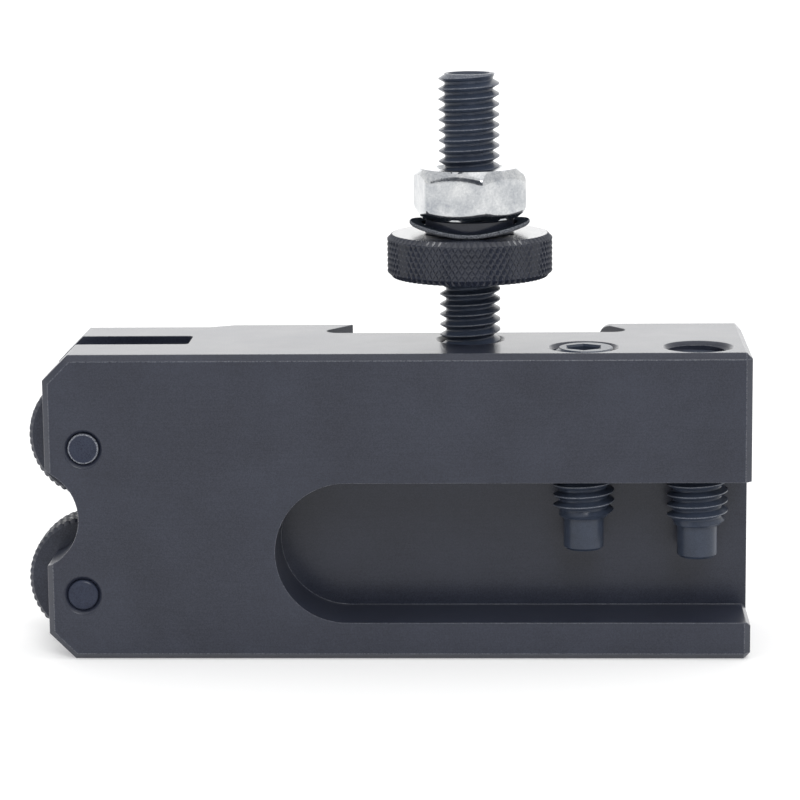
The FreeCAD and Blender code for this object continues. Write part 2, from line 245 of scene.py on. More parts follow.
@dataclass(frozen=True)
class Thread:
    """A 60 degree screw thread whose crests lie at whole pitches above the frame's base."""

    radius: float = 2.95 * MM
    pitch: float = 1.0 * MM
    depth: float = 0.58 * MM
    crest: float = 0.11 * MM
    root: float = 0.22 * MM
    root_sag: float = 1 / 8
    clearance: float = 0.06 * MM
    dish_lip: float = 0.35 * MM
    dish_shoulder: float = 0.5 * MM
    dish_floor: float = 1.1
    steps: int = 48

    def surface(self, low: float, high: float, offset: float = 0.0) -> bmesh.types.BMesh:
        """Sweep one pitch of the outline up a helix and trim it between two planes.

        Args:
            low: Lower end of the thread, in metres.
            high: Upper end.
            offset: How far the outline lies outside that of the screw, as for a nut's thread.

        Returns:
            The open tube of the thread, around the Z axis.
        """
        outer = self.radius + offset
        inner = outer - self.depth
        middle = self.pitch / 2
        outline = [
            (outer, -self.crest / 2),
            (outer, self.crest / 2),
            (inner, middle - self.root / 2),
            (inner - self.root * self.root_sag, middle),
            (inner, middle + self.root / 2),
            (outer, self.pitch - self.crest / 2),
        ]
        start = (math.floor(low / self.pitch) - 1) * self.pitch
        turns = math.ceil((high - start) / self.pitch) + 1
        bm = bmesh.new()
        verts = [bm.verts.new((radius, 0, start + rise)) for radius, rise in outline]
        edges = [bm.edges.new(pair) for pair in zip(verts, verts[1:])]
        bmesh.ops.spin(
            bm, geom=verts + edges, cent=(0, 0, 0), axis=(0, 0, 1), dvec=(0, 0, self.pitch / self.steps),
            angle=FULL_TURN * turns, steps=self.steps * turns, use_merge=False, use_duplicate=False,
        )
        weld(bm)
        for height, keep_above in ((low, True), (high, False)):
            bmesh.ops.bisect_plane(
                bm, geom=bm.verts[:] + bm.edges[:] + bm.faces[:], dist=CUT_TOLERANCE,
                plane_co=(0, 0, height), plane_no=(0, 0, 1),
                clear_inner=keep_above, clear_outer=not keep_above,
            )
        weld(bm)
        return bm

    def screw(
        self, low: float, high: float, low_tip: float, high_tip: float, dish: float = 0.0,
    ) -> bmesh.types.BMesh:
        """Make a closed threaded rod.

        Args:
            low: Height of its lower end, in metres.
            high: Height of its upper end.
            low_tip: Radius to which a 45 degree chamfer brings the lower end.
            high_tip: The same for the upper end.
            dish: How deep the upper end is hollowed.

        Returns:
            The closed rod, around the Z axis.
        """
        bm = self.surface(low, high)
        for vert in bm.verts:
            limit = min(low_tip + vert.co.z - low, high_tip + high - vert.co.z)
            shrink_to(vert, limit)
        weld(bm)

        def is_crest(centre: Vector) -> bool:
            """Tell whether a face lies on the crest, or on the chamfer above it."""
            outline = min(self.radius, high_tip + high - centre.z)
            return centre.xy.length > outline - self.crest

        # Crest faces are flagged for the pale edge colour: partly rubbed by use, partly a painted highlight
        # along the crests.
        mark_rubbed_and_lit(bm, is_crest)
        fill_flat(bm, low)
        if not dish:
            fill_flat(bm, high)
            return bm
        floor = high - dish * self.dish_floor
        rim = [plain(high_tip - self.dish_lip, high), plain(high_tip - self.dish_shoulder, high - dish / 2)]
        rim += [plain(high_tip / 2, high - dish), plain(high_tip / 8, floor)]
        loft(bm, rim, self.steps)
        fill_flat(bm, high)
        fill_flat(bm, floor)
        return bm

    def nut_bore(self, low: float, high: float, chamfer: float) -> bmesh.types.BMesh:
        """Make the open tube of an internal thread.

        Args:
            low: Lower end of the thread, in metres.
            high: Upper end.
            chamfer: Width of the 45 degree chamfer at both mouths.

        Returns:
            The open tube, around the Z axis.
        """
        bm = self.surface(low, high, self.clearance)
        mouth = self.radius + self.clearance + chamfer
        for vert in bm.verts:
            grow_to(vert, mouth - min(vert.co.z - low, high - vert.co.z))
        weld(bm)
        return bm


def shrink_to(vert: bmesh.types.BMVert, limit: float) -> None:
    """Pull a point in to a radius if it lies outside it.

    Args:
        vert: The point.
        limit: The radius around the Z axis, in metres.
    """
    radius = math.hypot(vert.co.x, vert.co.y)
    if radius > limit:
        vert.co.x *= limit / radius
        vert.co.y *= limit / radius


def grow_to(vert: bmesh.types.BMVert, limit: float) -> None:
    """Push a point out to a radius if it lies inside it.

    Args:
        vert: The point.
        limit: The radius around the Z axis, in metres.
    """
    radius = math.hypot(vert.co.x, vert.co.y)
    if radius < limit:
        vert.co.x *= limit / radius
        vert.co.y *= limit / radius


def mark_rubbed_and_lit(bm: bmesh.types.BMesh, is_bright: Callable[[Vector], bool]) -> None:
    """Flag the faces that are painted bright: partly rubbed by handling, partly a painted highlight of the
    light their edges catch.

    Args:
        bm: The mesh to mark.
        is_bright: A test of the middle of a face.
    """
    edge_layer = bm.faces.layers.float.new("edge")
    for face in bm.faces:
        face[edge_layer] = 1.0 if is_bright(face.calc_center_median()) else 0.0


def middle_of(node: str) -> Vector:
    """Give the middle of a frame node's box."""
    low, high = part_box(node)
    return (low + high) / 2


def add_piece(
    bm: bmesh.types.BMesh, name: str, body: str, nodes: Sequence[str],
    material: bpy.types.Material, sharp: float = SHARP_ANGLE,
) -> bpy.types.Object:
    """Turn a mesh into a finished piece of the holder.

    Args:
        bm: The piece's mesh in its final place, which is used up.
        name: The piece's name.
        body: The frame body that it moves with.
        nodes: The frame nodes that it stands for.
        material: Its finish.
        sharp: Edges that turn by more than this angle look sharp.

    Returns:
        The new object.
    """
    mesh = bpy.data.meshes.new(name)
    bm.to_mesh(mesh)
    bm.free()
    mesh.shade_smooth()
    mesh.set_sharp_from_angle(angle=sharp)
    mesh.materials.append(material)
    piece = bpy.data.objects.new(name, mesh)
    bpy.context.scene.collection.objects.link(piece)
    flatten = piece.modifiers.new("flat_faces_stay_flat", "WEIGHTED_NORMAL")
    flatten.keep_sharp = True
    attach(piece, body)
    if nodes:
        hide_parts(*nodes)
    LOG.info("%s: %d faces, rides on %s", name, len(mesh.polygons), body)
    return piece


# ---------------------------------------------------------------- finishes


def linear(colour: str) -> tuple[float, float, float, float]:
    """Turn an sRGB colour into a linear one.

    Args:
        colour: Six hex digits.

    Returns:
        Linear red, green, blue and alpha.
    """
    channels = [int(colour[place:place + 2], 16) / 255 for place in (0, 2, 4)]
    bent = [c / 12.92 if c <= 0.04045 else ((c + 0.055) / 1.055) ** 2.4 for c in channels]
    return (*bent, 1.0)


def add_node(
    tree: bpy.types.NodeTree, kind: str, settings: dict | None = None, inputs: dict | None = None,
) -> bpy.types.Node:
    """Add a shader node.

    Args:
        tree: The material's node tree.
        kind: The node's type name.
        settings: Values for the node's own properties.
        inputs: For each input, by name or number, a value, or the output socket to link to it.

    Returns:
        The new node.
    """
    made = tree.nodes.new(kind)
    for key, value in (settings or {}).items():
        setattr(made, key, value)
    for key, value in (inputs or {}).items():
        if isinstance(value, bpy.types.NodeSocket):
            tree.links.new(value, made.inputs[key])
        else:
            made.inputs[key].default_value = value
    return made


@dataclass(frozen=True)
class BlackOxide:
    """Steel blackened in hot salts and oiled: a matt blue-black skin under a thin clear oil film.

    Seen square on it is nearly black and even; at a low angle the film mirrors the room.
    """

    name: str = "black_oxide_ground_steel"
    colour: str = "1c1f2b"
    pale_colour: str = "303441"
    # Pale colour of flagged edges and crests: partly rubbed steel, partly a painted highlight.
    rubbed_and_highlight_colour: str = "a0a3aa"
    roughness: float = 0.4
    roughness_spread: float = 0.08
    specular: float = 0.12
    film_roughness: float = 0.24
    film_ior: float = 1.42
    film: float = 0.8
    speck_share: float = 0.75
    mottle_share: float = 0.4
    mottle: float = 7.0 * MM
    # The real grinding marks and speckle are finer: they are drawn as coarse as they need to be to show.
    grain_length: float = 5.0 * MM
    grain_width: float = 0.12 * MM
    speck: float = 0.1 * MM
    grain_relief: float = 0.001 * MM
    texture_low: float = 0.36
    texture_high: float = 0.64
    cloud_low: float = 0.3
    cloud_high: float = 0.7
    # How strongly the flagged faces take that pale colour, partly rubbing and partly painted highlight.
    rub_and_highlight: float = 0.12

    def material(self) -> bpy.types.Material:
        """Build the finish as a material.

        Returns:
            The material: oxide skin, a pale colour where the edge attribute says so, partly bare steel and
                partly painted highlight, and the oil film.
        """
        material = bpy.data.materials.new(self.name)
        material.use_nodes = True
        tree = material.node_tree
        shader = tree.nodes["Principled BSDF"]
        place = add_node(tree, "ShaderNodeTexCoord").outputs["Object"]
        mottle = add_node(
            tree, "ShaderNodeTexNoise", None,
            {"Vector": place, "Scale": 1 / self.mottle, "Detail": 3.0, "Roughness": 0.6},
        )
        grain_place = add_node(
            tree, "ShaderNodeMapping", None,
            {"Vector": place, "Scale": (1 / self.grain_length, 1 / self.grain_width, 1 / self.grain_width)},
        )
        grain = add_node(
            tree, "ShaderNodeTexNoise", None,
            {"Vector": grain_place.outputs[0], "Scale": 1.0, "Detail": 4.0, "Roughness": 0.7},
        )
        speck = add_node(
            tree, "ShaderNodeTexNoise", None,
            {"Vector": place, "Scale": 1 / self.speck, "Detail": 2.0},
        )
        blend = add_node(
            tree, "ShaderNodeMix", {"data_type": "FLOAT"},
            {0: self.speck_share, 2: grain.outputs["Fac"], 3: speck.outputs["Fac"]},
        )
        texture = add_node(
            tree, "ShaderNodeMapRange", None,
            {"Value": blend.outputs[0], "From Min": self.texture_low, "From Max": self.texture_high},
        )
        cloud = add_node(
            tree, "ShaderNodeMapRange", None,
            {"Value": mottle.outputs["Fac"], "From Min": self.cloud_low, "From Max": self.cloud_high},
        )
        tone = add_node(
            tree, "ShaderNodeMix", {"data_type": "FLOAT"},
            {0: self.mottle_share, 2: texture.outputs[0], 3: cloud.outputs[0]},
        )
        skin = add_node(
            tree, "ShaderNodeMix", {"data_type": "RGBA"},
            {0: tone.outputs[0], 6: linear(self.colour), 7: linear(self.pale_colour)},
        )
        # Faces flagged in the edge attribute take the pale colour: partly bare rubbed steel, partly a
        # painted highlight standing in for the light that edges and crests catch.
        edge = add_node(tree, "ShaderNodeAttribute", {"attribute_name": "edge"})
        edge_texture = add_node(
            tree, "ShaderNodeMath", {"operation": "MULTIPLY"},
            {0: edge.outputs["Fac"], 1: texture.outputs[0]},
        )
        rub_and_highlight_mask = add_node(
            tree, "ShaderNodeMath", {"operation": "MULTIPLY", "use_clamp": True},
            {0: edge_texture.outputs[0], 1: 2 * self.rub_and_highlight},
        )
        colour = add_node(
            tree, "ShaderNodeMix", {"data_type": "RGBA"},
            {0: rub_and_highlight_mask.outputs[0], 6: skin.outputs[2], 7: linear(self.rubbed_and_highlight_colour)},
        )
        rough = add_node(
            tree, "ShaderNodeMapRange", None,
            {
                "Value": tone.outputs[0],
                "To Min": self.roughness - self.roughness_spread,
                "To Max": self.roughness + self.roughness_spread,
            },
        )
        bump = add_node(
            tree, "ShaderNodeBump", None,
            {"Height": texture.outputs[0], "Distance": self.grain_relief, "Strength": 1.0},
        )
        tree.links.new(colour.outputs[2], shader.inputs["Base Color"])
        tree.links.new(rough.outputs[0], shader.inputs["Roughness"])
        tree.links.new(bump.outputs[0], shader.inputs["Normal"])
        tree.links.new(bump.outputs[0], shader.inputs["Coat Normal"])
        shader.inputs["Metallic"].default_value = 0.0
        shader.inputs["Specular IOR Level"].default_value = self.specular
        shader.inputs["Coat Weight"].default_value = self.film
        shader.inputs["Coat Roughness"].default_value = self.film_roughness
        shader.inputs["Coat IOR"].default_value = self.film_ior
        return material


@dataclass(frozen=True)
class ZincPlate:
    """Bright zinc plated steel: cold formed, barrel plated, silvery with a faint blue cast."""

    name: str = "bright_zinc_plate"
    colour: str = "979ba1"
    pale_colour: str = "d9dada"
    roughness: float = 0.15
    roughness_spread: float = 0.06
    mottle: float = 2.4 * MM
    speck: float = 0.2 * MM
    speck_share: float = 0.25
    texture_low: float = 0.3
    texture_high: float = 0.66
    relief: float = 0.007 * MM

    def material(self) -> bpy.types.Material:
        """Build the finish as a material.

        Returns:
            The material: a soft mirror with cloudy plating and slight dents.
        """
        material = bpy.data.materials.new(self.name)
        material.use_nodes = True
        tree = material.node_tree
        shader = tree.nodes["Principled BSDF"]
        place = add_node(tree, "ShaderNodeTexCoord").outputs["Object"]
        mottle = add_node(
            tree, "ShaderNodeTexNoise", None,
            {"Vector": place, "Scale": 1 / self.mottle, "Detail": 4.0, "Roughness": 0.65},
        )
        speck = add_node(
            tree, "ShaderNodeTexNoise", None,
            {"Vector": place, "Scale": 1 / self.speck, "Detail": 2.0},
        )
        blend = add_node(
            tree, "ShaderNodeMix", {"data_type": "FLOAT"},
            {0: self.speck_share, 2: mottle.outputs["Fac"], 3: speck.outputs["Fac"]},
        )
        texture = add_node(
            tree, "ShaderNodeMapRange", None,
            {"Value": blend.outputs[0], "From Min": self.texture_low, "From Max": self.texture_high},
        )
        colour = add_node(
            tree, "ShaderNodeMix", {"data_type": "RGBA"},
            {0: texture.outputs[0], 6: linear(self.colour), 7: linear(self.pale_colour)},
        )
        rough = add_node(
            tree, "ShaderNodeMapRange", None,
            {
                "Value": texture.outputs[0],
                "To Min": self.roughness - self.roughness_spread,
                "To Max": self.roughness + self.roughness_spread,
            },
        )
        bump = add_node(
            tree, "ShaderNodeBump", None,
            {"Height": texture.outputs[0], "Distance": self.relief, "Strength": 1.0},
        )
        tree.links.new(colour.outputs[2], shader.inputs["Base Color"])
        tree.links.new(rough.outputs[0], shader.inputs["Roughness"])
        tree.links.new(bump.outputs[0], shader.inputs["Normal"])
        shader.inputs["Metallic"].default_value = 1.0
        return material


# Ground and milled faces: even blue-black with a fine speckle, pale grey where seen at a low angle.
BODY_FINISH = BlackOxide()
# Rolled threads: a little lighter and bluer, with thin pale lines on the crests, partly rubbed and partly a
# painted highlight.
HARDWARE_FINISH = BlackOxide(
    name="black_oxide_rolled_thread", colour="272d38", pale_colour="3a4252", roughness=0.45,
    film=0.6, film_roughness=0.25, rub_and_highlight=0.2, mottle=2.0 * MM, grain_length=0.6 * MM, speck=0.08 * MM,
)
# Spring steel: dull and very dark, without reflections; its rim is painted pale, partly rubbed edge and
# partly a painted highlight.
SPRING_FINISH = BlackOxide(
    name="black_spring_steel", colour="15191f", pale_colour="252a31", roughness=0.5, specular=0.0,
    film=0.0, rub_and_highlight=0.3,
    mottle=2.0 * MM, grain_length=1.5 * MM, grain_width=0.1 * MM,
)
# Turned and knurled nut: dark points, and an upper face so smooth that it mirrors what stands on it.
TURNED_FINISH = BlackOxide(
    name="black_oxide_turned_nut", colour="161a25", pale_colour="272b38", film_roughness=0.14, film=1.0,
    mottle=2.0 * MM, grain_length=0.6 * MM, speck=0.08 * MM,
)
# Hardened wheels: neutral dark grey, duller than the block around them.
KNURL_FINISH = BlackOxide(
    name="black_oxide_hardened_knurl", colour="23262f", pale_colour="393c48", roughness=0.38, film=0.4,
    mottle=2.5 * MM, grain_length=0.4 * MM, rub_and_highlight=0.6,
)
# Pressed pins: like the block, with a thin bright ring on the rim, partly rubbed by pressing and partly a
# painted highlight.
PIN_FINISH = BlackOxide(
    name="black_oxide_turned_pin", colour="1e2230", pale_colour="33394a", roughness=0.3, film=0.3, rub_and_highlight=0.4,
    mottle=1.5 * MM, grain_length=0.5 * MM,
)
# Plated nut: the one bright piece, cloudy silver with dark streaks where its edges turn.
ZINC_FINISH = ZincPlate()


# ---------------------------------------------------------------- the milled block


@dataclass
class HolderBlock:
    """The milled block, its two pressed pins and the threads cut in its three holes."""

    thread: Thread
    edge_round: float = 0.06 * MM
    least_edge: float = 0.069 * MM
    flat_angle: float = math.radians(0.4)
    lining_wall: float = 0.01 * MM
    hole_chamfer: float = 0.4 * MM
    thread_shown: float = 4.0 * MM
    upper_pin_chamfer: float = 0.12 * MM
    lower_pin_chamfer: float = 0.22 * MM
    pin_dimple: float = 0.05 * MM
    pin_dimple_floor: float = 0.2
    pin_dimple_side: float = 0.6
    pin_dimple_rise: float = 0.8
    pin_plain_reach: float = 2.4 * MM
    pin_segments: int = 96

    def build(self) -> None:
        """Make the block and the hole threads, and dress the pins."""
        finish = BODY_FINISH.material()
        self.block(finish)
        self.hole_thread("stud_hole_thread", "height_stud", finish)
        self.hole_thread("inner_screw_hole_thread", "inner_clamp_screw", finish)
        self.hole_thread("outer_screw_hole_thread", "outer_clamp_screw", finish)
        pin_finish = PIN_FINISH.material()
        self.pin("upper_knurl_pin", self.upper_pin_chamfer, True, pin_finish)
        self.pin("lower_knurl_pin", self.lower_pin_chamfer, False, pin_finish)

    def block(self, finish: bpy.types.Material) -> None:
        """Round the edges of a merged copy of the frame's block.

        Args:
            finish: Its finish.
        """
        bm = bmesh.new()
        bm.from_mesh(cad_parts["holder_body"].data)
        weld(bm)
        bmesh.ops.dissolve_limit(
            bm, angle_limit=self.flat_angle, verts=bm.verts, edges=bm.edges,
            use_dissolve_boundaries=False, delimit=set(),
        )
        bmesh.ops.remove_doubles(bm, verts=bm.verts, dist=self.least_edge)
        # The rounded edges take the pale edge colour, partly rubbed steel and partly a painted highlight;
        # those near the pins are left plain, so that the pins' countersinks get no bright outline.
        edge_layer = bm.faces.layers.float.new("edge")
        pins = [middle_of("upper_knurl_pin"), middle_of("lower_knurl_pin")]
        for face in soften(bm, self.edge_round):
            centre = face.calc_center_median()
            from_pins = min((centre - pin).xz.length for pin in pins)
            face[edge_layer] = 1.0 if from_pins > self.pin_plain_reach else 0.0
        low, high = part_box("holder_body")
        for vert in bm.verts:
            vert.co = [min(max(vert.co[axis], low[axis]), high[axis]) for axis in range(3)]
        add_piece(bm, "milled_block", "holder", ["holder_body"], finish)

    def pin(
        self, node: str, chamfer: float, rim_is_bright: bool, finish: bpy.types.Material,
    ) -> None:
        """Turn a pressed pin with a faintly dished face at both ends.

        Args:
            node: The frame's pin.
            chamfer: Width of the chamfer at its ends, in metres.
            rim_is_bright: Whether the rim of its faces is painted bright, partly as rubbing from pressing
                and partly as a painted highlight.
            finish: Its finish.
        """
        low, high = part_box(node)
        radius = (high.x - low.x) / 2
        half = (high.y - low.y) / 2
        inner = radius - chamfer
        step = chamfer / 4
        end = [
            (self.pin_dimple_floor * inner, half - self.pin_dimple),
            (self.pin_dimple_side * inner, half - self.pin_dimple * self.pin_dimple_rise),
            (inner - 1.5 * step, half - step / 4), (inner, half), (inner + 2 * step, half - step),
            (radius - step, half - 2 * step), (radius, half - chamfer),
        ]
        outline = end + [(reach, -height) for reach, height in reversed(end)]
        bm = bmesh.new()
        loft(bm, [plain(reach, height) for reach, height in outline], self.pin_segments)
        for side in (-1, 1):
            fill_flat(bm, side * end[0][1])
        if rim_is_bright:
            # The rim faces take the pale edge colour: a painted highlight ring, partly rubbing from
            # pressing.
            mark_rubbed_and_lit(bm, lambda centre: inner - 2 * step < centre.xy.length < radius - step / 2)
        bmesh.ops.recalc_face_normals(bm, faces=bm.faces)
        bmesh.ops.rotate(bm, verts=bm.verts, cent=(0, 0, 0), matrix=Matrix.Rotation(math.pi / 2, 3, "X"))
        bmesh.ops.translate(bm, verts=bm.verts, vec=(low + high) / 2)
        add_piece(bm, node + "_turned", "holder", [node], finish)

    def hole_thread(self, name: str, screw: str, finish: bpy.types.Material) -> None:
        """Line the mouth of a hole with its internal thread.

        Args:
            name: Name of the new piece.
            screw: The frame's screw that stands in the hole.
            finish: Its finish.
        """
        axis = middle_of(screw)
        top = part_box("holder_body")[1].z - self.hole_chamfer
        low = top - self.thread_shown
        bm = self.thread.nut_bore(low, top, 0.0)
        wall = self.thread.radius + self.thread.clearance + self.lining_wall
        loft(bm, [plain(wall, low), plain(wall, top)], self.thread.steps)
        fill_flat(bm, low)
        fill_flat(bm, top)
        bmesh.ops.recalc_face_normals(bm, faces=bm.faces)
        bmesh.ops.translate(bm, verts=bm.verts, vec=(axis.x, axis.y, 0))
        add_piece(bm, name, "holder", [], finish)


# ---------------------------------------------------------------- the stud and its nuts


@dataclass
class HeightAdjuster:
    """The stud on the block's top, with the thumb nut, spring washer and jam nut on it."""

    thread: Thread
    stud_tip: float = 2.45 * MM
    stud_dish: float = 0.4 * MM
    bore_chamfer: float = 0.4 * MM
    knurl_count: int = 76
    knurl_detail: int = 5
    knurl_depth: float = 0.17 * MM
    knurl_flat: float = 0.85
    knurl_slant: float = math.radians(32)
    knurl_left_at_top: float = 0.8
    knurl_top_chamfer: float = 0.42 * MM
    knurl_bottom_chamfer: float = 0.5 * MM
    hub_radius: float = 4.35 * MM
    hub_height: float = 1.55 * MM
    hub_edge: float = 0.15 * MM
    nut_flats: float = 10.0 * MM
    nut_face_share: float = 0.95
    nut_turned: float = math.radians(44)
    nut_chamfer: float = math.radians(30)
    nut_corner_cut: float = 0.06 * MM
    nut_segments: int = 144
    nut_crown: float = 0.26 * MM
    nut_crown_height: float = 0.9 * MM
    nut_crown_rings: int = 5
    washer_inner: float = 4.55 * MM
    washer_thickness: float = 0.4 * MM
    washer_edge: float = 0.1 * MM
    washer_bend: float = 0.5 * MM
    washer_segments: int = 96

    def build(self, stud_finish: bpy.types.Material) -> None:
        """Make the four pieces.

        Args:
            stud_finish: Finish of the stud.
        """
        self.stud(stud_finish)
        self.thumb_nut(TURNED_FINISH.material())
        self.spring_washer(SPRING_FINISH.material())
        self.jam_nut(ZINC_FINISH.material())

    def stand(self, bm: bmesh.types.BMesh) -> None:
        """Move a mesh from the Z axis to the stud's axis."""
        axis = middle_of("height_stud")
        bmesh.ops.translate(bm, verts=bm.verts, vec=(axis.x, axis.y, 0))

    def stud(self, finish: bpy.types.Material) -> None:
        """Make the threaded stud.

        Args:
            finish: Its finish.
        """
        low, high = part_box("height_stud")
        bm = self.thread.screw(low.z, high.z, self.stud_tip, self.stud_tip, self.stud_dish)
        bmesh.ops.recalc_face_normals(bm, faces=bm.faces)
        self.stand(bm)
        add_piece(bm, "threaded_stud", "holder", ["height_stud"], finish)

    def thumb_nut(self, finish: bpy.types.Material) -> None:
        """Make the thumb nut: threaded bore, hub, and a rim with a fine diamond knurl.

        Args:
            finish: Its finish.
        """
        low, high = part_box("thumb_nut")
        rim = (high.x - low.x) / 2
        top = high.z - self.hub_height
        bm = self.thread.nut_bore(low.z, high.z, self.bore_chamfer)
        rows = self.knurl_rows(rim, low.z, top)
        segments = 2 * self.knurl_count * self.knurl_detail
        hub = self.hub_radius
        edge = self.hub_edge
        stations = rows + [
            plain(hub + edge, top),
            plain(hub, top + edge),
            plain(hub, high.z - edge),
            plain(hub - edge, high.z),
        ]
        skin = bmesh.new()
        loft(skin, stations, segments)
        knurled = [
            face for face in skin.faces
            if math.hypot(*face.calc_center_median().xy) > rim - 2 * self.knurl_depth
        ]
        bmesh.ops.triangulate(skin, faces=knurled, quad_method="SHORT_EDGE")
        join(bm, skin)
        fill_flat(bm, low.z)
        fill_flat(bm, high.z)
        bmesh.ops.recalc_face_normals(bm, faces=bm.faces)
        self.stand(bm)
        add_piece(bm, "knurled_thumb_nut", "thumb_nut", ["thumb_nut"], finish)

    def knurl_rows(self, rim: float, bottom: float, top: float) -> list[Station]:
        """Give the rings of the rim, which carry the pyramids of the diamond knurl.

        Args:
            rim: The rim's outer radius.
            bottom: Height of the nut's underside.
            top: Height of its upper face.

        Returns:
            The stations from the underside to the upper face.
        """
        half_pitch = math.pi * rim / self.knurl_count
        room = top - bottom
        diamonds = round(room / half_pitch * math.tan(self.knurl_slant))
        rows = diamonds * self.knurl_detail
        stations = []
        for row in range(rows + 1):
            height = bottom + room * row / rows
            limit = min(
                rim - self.knurl_bottom_chamfer + height - bottom,
                rim - self.knurl_top_chamfer + top - height,
            )
            fade = min(1.0, self.knurl_left_at_top + (top - height) / self.knurl_top_chamfer)
            stations.append(self.knurl_row(row / self.knurl_detail, height, min(rim, limit), fade))
        return stations

    def knurl_row(self, across: float, height: float, rim: float, fade: float) -> Station:
        """Give one ring of the knurl, cut by two crossing sets of grooves.

        Args:
            across: How many half diamonds the ring lies above the underside.
            height: Its height, in metres.
            rim: The radius of the points.
            fade: How much of the grooves' depth is left.

        Returns:
            The station.
        """

        def from_groove(place: float) -> float:
            """Give the distance from the nearest groove, in half diamonds."""
            return abs(place - 2 * round(place / 2))

        def station(angle: float) -> tuple[float, float]:
            """Give the radius and height of the knurl at an angle."""
            around = angle / FULL_TURN * 2 * self.knurl_count
            rise = min(from_groove(around + across), from_groove(around - across))
            fall = self.knurl_depth * (1 - min(1.0, rise / self.knurl_flat))
            return rim - fall * fade, height

        return station

    def spring_washer(self, finish: bpy.types.Material) -> None:
        """Make the washer that stands around the hub, curved so that its sides are raised.

        Args:
            finish: Its finish.
        """
        low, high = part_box("spring_washer")
        outer = (high.x - low.x) / 2
        thick = self.washer_thickness
        rise = high.z - low.z - thick
        bend = self.washer_bend
        slope = math.sqrt((rise + bend) ** 2 - bend ** 2) / outer
        inner = self.washer_inner
        edge = self.washer_edge
        outline = [
            (inner, edge), (inner + edge, 0), (outer - edge, 0), (outer, edge),
            (outer, thick - edge), (outer - edge, thick), (inner + edge, thick), (inner, thick - edge),
            (inner, edge),
        ]
        bm = bmesh.new()
        loft(bm, [plain(radius, height) for radius, height in outline], self.washer_segments)
        weld(bm)
        bmesh.ops.recalc_face_normals(bm, faces=bm.faces)
        # The rim faces take the pale edge colour: a painted highlight of the lit rim, partly rubbed edge.
        mark_rubbed_and_lit(bm, lambda centre: centre.xy.length > outer - edge)
        for vert in bm.verts:
            vert.co.z += low.z + math.hypot(bend, slope * vert.co.x) - bend
        self.stand(bm)
        add_piece(bm, "curved_spring_washer", "height_carriage", ["spring_washer"], finish)

    def jam_nut(self, finish: bpy.types.Material) -> None:
        """Make the hexagon nut with its 30 degree chamfers, crowned sides and threaded bore.

        Args:
            finish: Its finish.
        """
        low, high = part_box("jam_nut")
        bm = self.thread.nut_bore(low.z, high.z, self.bore_chamfer)
        face = self.nut_flats / 2 * self.nut_face_share
        outline = [plain(face, low.z)]
        crown = [index / self.nut_crown_rings for index in range(self.nut_crown_rings + 1)]
        outline += [self.nut_ring(low.z, 1, share) for share in crown]
        outline += [self.nut_ring(high.z, -1, share) for share in reversed(crown)]
        outline.append(plain(face, high.z))
        skin = bmesh.new()
        loft(skin, outline, self.nut_segments)
        turn = Matrix.Rotation(self.nut_turned, 3, "Z")
        bmesh.ops.rotate(skin, verts=skin.verts, cent=(0, 0, 0), matrix=turn)
        join(bm, skin)
        fill_flat(bm, low.z)
        fill_flat(bm, high.z)
        bmesh.ops.recalc_face_normals(bm, faces=bm.faces)
        self.stand(bm)
        add_piece(bm, "hexagon_jam_nut", "jam_nut", ["jam_nut"], finish)

    def nut_ring(self, end: float, inward: int, share: float) -> Station:
        """Give a ring of the nut's sides near one of its ends.

        Args:
            end: Height of that end.
            inward: 1 if the nut lies above the end, -1 if it lies below.
            share: 0 at the chamfer's edge, 1 where the crowning has run out.

        Returns:
            The station.
        """
        apothem = self.nut_flats / 2
        face = apothem * self.nut_face_share
        corner = apothem / math.cos(HALF_HEXAGON_STEP) - self.nut_corner_cut
        slope = math.tan(self.nut_chamfer)

        def station(angle: float) -> tuple[float, float]:
            """Give the radius and height of the nut's side at an angle."""
            from_flat = angle % HEXAGON_STEP - HALF_HEXAGON_STEP
            side = min(apothem / math.cos(from_flat), corner)
            depth = (side - face) * slope + share * self.nut_crown_height
            return side - self.nut_crown * (1 - share) ** 3, end + inward * depth

        return station


# ---------------------------------------------------------------- the knurling head


